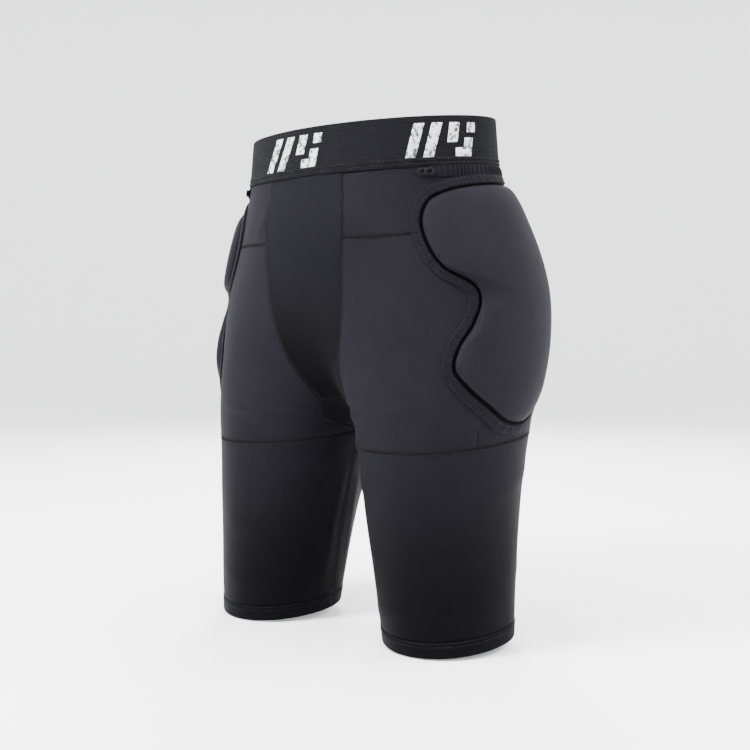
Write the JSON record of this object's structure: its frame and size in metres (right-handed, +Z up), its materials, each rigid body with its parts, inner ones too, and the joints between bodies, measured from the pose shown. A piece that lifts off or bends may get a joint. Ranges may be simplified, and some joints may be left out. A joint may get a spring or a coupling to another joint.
{
  "type": "padded impact shorts",
  "caption": "Black stretch impact shorts with an elastic waistband, wrap-round hip pads and a three-lobed mesh seat pad edged in orange stitching.",
  "frame": {"origin": "centre of the waist opening, level with the top of the waistband at the wearer's sides", "axes": "+Z up out of the waist, -Y towards the wearer's front, +X towards the wearer's left; the shorts hang from the waist as worn"},
  "size_m": [0.3678, 0.2496, 0.5021],
  "materials": {
    "cloth": "charcoal stretch knit with a soft sheen",
    "band": "ribbed woven elastic with pale knitted-in marks",
    "foam": "closed-cell foam, matt",
    "mesh": "perforated spacer mesh, matt",
    "binding": "gathered edge binding",
    "thread": "black polyester thread",
    "orange_thread": "orange cover stitch flecked with dark thread"
  },
  "bodies": {
    "pelvis": {"waistband": "band", "waist_seam": "thread", "fly_panel": "cloth", "crotch_gusset": "cloth", "fly_seam_left": "thread", "fly_seam_right": "thread", "yoke_left": "cloth", "yoke_right": "cloth", "yoke_seam_left": "thread", "yoke_seam_right": "thread", "front_panel_left": "cloth", "front_panel_right": "cloth", "side_panel_left": "cloth", "side_panel_right": "cloth", "seat_panel_left": "cloth", "seat_panel_right": "cloth", "upper_thigh_left": "cloth", "upper_thigh_right": "cloth", "thigh_seam_left": "thread", "thigh_seam_right": "thread", "hip_gather_left": "binding", "hip_gather_right": "binding", "hip_tab_left": "binding", "hip_tab_right": "binding", "hip_foam_left": "foam", "hip_foam_right": "foam", "hip_cover_left": "cloth", "hip_cover_right": "cloth", "hip_binding_left": "binding", "hip_binding_right": "binding", "tailbone_foam": "foam", "buttock_foam_left": "foam", "buttock_foam_right": "foam", "seat_cover": "mesh", "seat_stitching": "orange_thread"},
    "left_leg": {"leg_panel_left": "cloth", "inseam_left": "thread", "hem_left": "cloth", "hem_seam_left": "thread"},
    "right_leg": {"leg_panel_right": "cloth", "inseam_right": "thread", "hem_right": "cloth", "hem_seam_right": "thread"}
  },
  "joints": [
    {"name": "left_hip", "type": "hinge", "parent": "pelvis", "child": "left_leg", "pos_m": [0.09, -0.017, -0.19], "axis": [-1, 0, 0], "range_deg": [-8, 30]},
    {"name": "right_hip", "type": "hinge", "parent": "pelvis", "child": "right_leg", "pos_m": [-0.09, -0.017, -0.19], "axis": [-1, 0, 0], "range_deg": [-8, 30]}
  ]
}
